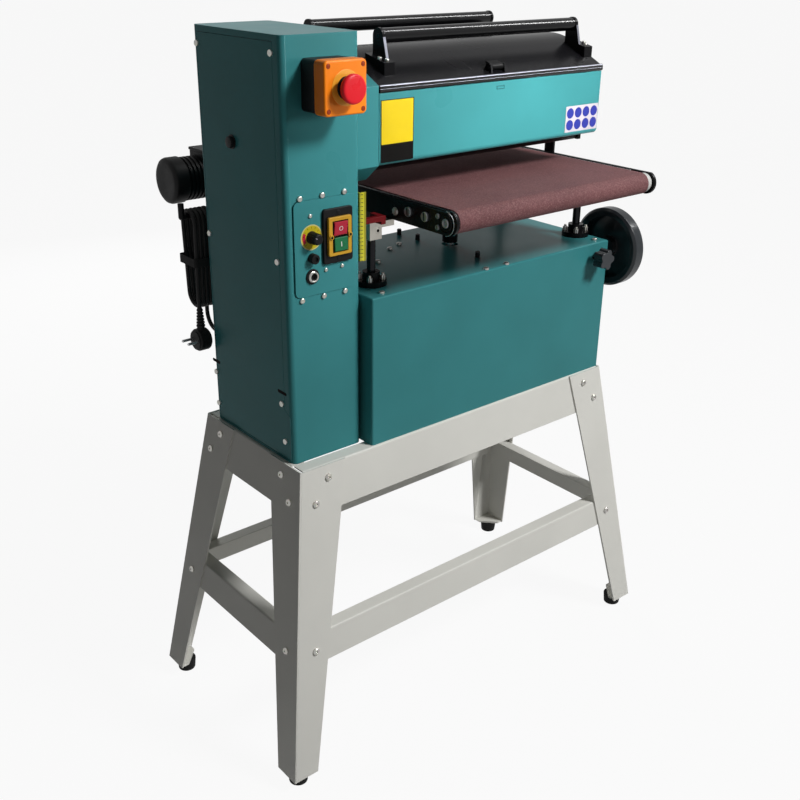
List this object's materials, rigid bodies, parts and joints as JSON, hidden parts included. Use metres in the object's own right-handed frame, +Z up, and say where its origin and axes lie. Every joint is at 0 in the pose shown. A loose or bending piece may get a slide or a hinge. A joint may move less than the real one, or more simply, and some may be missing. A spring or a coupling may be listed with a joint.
{
  "type": "drum sander on stand",
  "caption": "Open-ended drum sander on a splayed steel stand: drive cabinet, hooded sanding head and a lifting feed table with an abrasive-covered belt.",
  "frame": {"origin": "on the floor under the drum axis, midway along the stand", "axes": "+Z up, +X from the drive cabinet along the drum to the open end, -Y to the infeed side that the picture shows"},
  "size_m": [0.868, 0.5196, 1.188],
  "materials": {
    "pale_grey": "satin",
    "teal": "hammered gloss",
    "black_metal": "gloss",
    "black_plastic": "satin",
    "rubber": "matte",
    "cord_rubber": "satin",
    "zinc": "zinc plated",
    "steel": "turned",
    "bearing_steel": "ground",
    "clamp_alu": "satin",
    "roller_white": "satin",
    "orange": "satin",
    "red": "gloss",
    "green": "gloss",
    "yellow": "satin",
    "scale": "satin",
    "abrasive": "coated abrasive cloth",
    "dark_red": "satin"
  },
  "bodies": {
    "machine": {"stand_legs": "pale_grey", "stand_rails": "pale_grey", "rubber_feet": "rubber", "stand_bolts": "zinc", "base_box": "teal", "cabinet": "teal", "cabinet_cover": "teal", "machine_screws": "zinc", "control_panel": "teal", "switch_plate": "black_plastic", "switch_frame": "yellow", "panel_connector": "steel", "estop_base": "black_plastic", "estop_cover": "orange", "head_arm": "teal", "head_panels": "teal", "head_end_plate": "black_metal", "bearings": "bearing_steel", "drive_belt": "rubber", "main_motor": "black_metal", "hood_hinges": "black_metal", "rear_roller_brackets": "black_metal", "dust_spigot": "black_plastic", "pressure_hangers": "black_metal", "post_flanges": "black_metal", "depth_scale": "scale", "cord_fittings": "black_plastic", "cord_ends": "cord_rubber", "cord_hank": "cord_rubber", "mains_plug": "rubber"},
    "drum": {"drum": "abrasive", "drum_shaft": "steel"},
    "motor_rotor": {"motor_pulley": "steel"},
    "hood": {"hood": "black_metal", "roller_brackets": "black_metal"},
    "latch": {"hood_latch": "black_metal"},
    "front_bar": {"front_return_roller": "black_metal"},
    "rear_bar": {"rear_return_roller": "black_metal"},
    "front_press": {"front_pressure_roller": "rubber"},
    "rear_press": {"rear_pressure_roller": "rubber"},
    "table": {"side_plates": "black_metal", "plate_screws": "zinc", "bed_plate": "steel", "feed_belt": "abrasive", "guide_posts": "black_metal", "post_clamps": "clamp_alu", "lift_bar": "black_metal", "depth_pointer": "dark_red", "feed_gearmotor": "black_metal"},
    "drive_roller": {"drive_roller": "roller_white"},
    "idler_roller": {"idler_roller": "roller_white"},
    "lift_screw": {"lift_screw": "steel"},
    "cross_shaft": {"cross_shaft": "steel"},
    "handwheel": {"handwheel": "black_metal"},
    "lock_knob": {"lock_knob": "black_plastic"},
    "stop_key": {"stop_button": "red"},
    "start_key": {"start_button": "green"},
    "speed_knob": {"speed_knob": "black_plastic"},
    "reset_key": {"reset_button": "black_plastic"},
    "estop_head": {"estop_button": "red"}
  },
  "joints": [
    {"name": "handwheel_turn", "type": "hinge", "parent": "machine", "child": "handwheel", "pos_m": [0.383, -0.135, 0.777], "axis": [-1, 0, 0], "range_deg": [-4050, 3150]},
    {"name": "cross_shaft_turn", "type": "hinge", "parent": "machine", "child": "cross_shaft", "pos_m": [0.098, -0.06, 0.777], "axis": [0, 1, 0], "range_deg": [-4060, 3160]},
    {"name": "lift_screw_turn", "type": "hinge", "parent": "machine", "child": "lift_screw", "pos_m": [0.098, 0, 0.78], "axis": [0, 0, 1], "range_deg": [-3160, 4060]},
    {"name": "table_lift", "type": "slide", "parent": "machine", "child": "table", "axis": [0, 0, 1], "range_m": [-0.0451, 0.0351]},
    {"name": "feed_drive", "type": "hinge", "parent": "table", "child": "drive_roller", "pos_m": [0.098, 0.238, 0.9227], "axis": [1, 0, 0], "continuous": true},
    {"name": "feed_idler", "type": "hinge", "parent": "table", "child": "idler_roller", "pos_m": [0.098, -0.238, 0.9227], "axis": [1, 0, 0], "continuous": true},
    {"name": "drum_spin", "type": "hinge", "parent": "machine", "child": "drum", "pos_m": [0.084, 0, 1.03], "axis": [1, 0, 0], "continuous": true},
    {"name": "motor_spin", "type": "hinge", "parent": "machine", "child": "motor_rotor", "pos_m": [-0.25, 0, 0.66], "axis": [1, 0, 0], "continuous": true},
    {"name": "hood_hinge", "type": "hinge", "parent": "machine", "child": "hood", "pos_m": [0.084, 0.1285, 1.102], "axis": [-1, 0, 0], "range_deg": [0, 55]},
    {"name": "latch_turn", "type": "hinge", "parent": "hood", "child": "latch", "pos_m": [0.086, -0.1085, 1.119], "axis": [-1, 0, 0], "range_deg": [0, 20]},
    {"name": "front_bar_spin", "type": "hinge", "parent": "hood", "child": "front_bar", "pos_m": [0.0985, -0.062, 1.172], "axis": [1, 0, 0], "continuous": true},
    {"name": "rear_bar_spin", "type": "hinge", "parent": "machine", "child": "rear_bar", "pos_m": [0.0985, 0.136, 1.172], "axis": [1, 0, 0], "continuous": true},
    {"name": "front_press_spin", "type": "hinge", "parent": "machine", "child": "front_press", "pos_m": [0.076, -0.086, 0.99], "axis": [1, 0, 0], "continuous": true},
    {"name": "rear_press_spin", "type": "hinge", "parent": "machine", "child": "rear_press", "pos_m": [0.076, 0.086, 0.99], "axis": [1, 0, 0], "continuous": true},
    {"name": "lock_knob_turn", "type": "hinge", "parent": "machine", "child": "lock_knob", "pos_m": [0.315, -0.175, 0.774], "axis": [0, -1, 0], "range_deg": [-360, 90]},
    {"name": "stop_press", "type": "slide", "parent": "machine", "child": "stop_key", "axis": [0, 1, 0], "range_m": [0, 0.003], "stiffness_N_per_m": 800},
    {"name": "start_press", "type": "slide", "parent": "machine", "child": "start_key", "axis": [0, 1, 0], "range_m": [0, 0.003], "stiffness_N_per_m": 800},
    {"name": "speed_turn", "type": "hinge", "parent": "machine", "child": "speed_knob", "pos_m": [-0.303, -0.145, 0.908], "axis": [0, -1, 0], "range_deg": [-270, 0]},
    {"name": "reset_press", "type": "slide", "parent": "machine", "child": "reset_key", "axis": [0, 1, 0], "range_m": [0, 0.002], "stiffness_N_per_m": 800},
    {"name": "estop_press", "type": "slide", "parent": "machine", "child": "estop_head", "axis": [0, 1, 0], "range_m": [0, 0.004], "stiffness_N_per_m": 1500}
  ],
  "couplings": [
    {"joint": "cross_shaft_turn", "follows": "handwheel_turn", "ratio": 1},
    {"joint": "lift_screw_turn", "follows": "handwheel_turn", "ratio": -1},
    {"joint": "table_lift", "follows": "handwheel_turn", "m_per_rad": 0.00063662},
    {"joint": "feed_idler", "follows": "feed_drive", "ratio": 1},
    {"joint": "motor_spin", "follows": "drum_spin", "ratio": 1.3333}
  ]
}
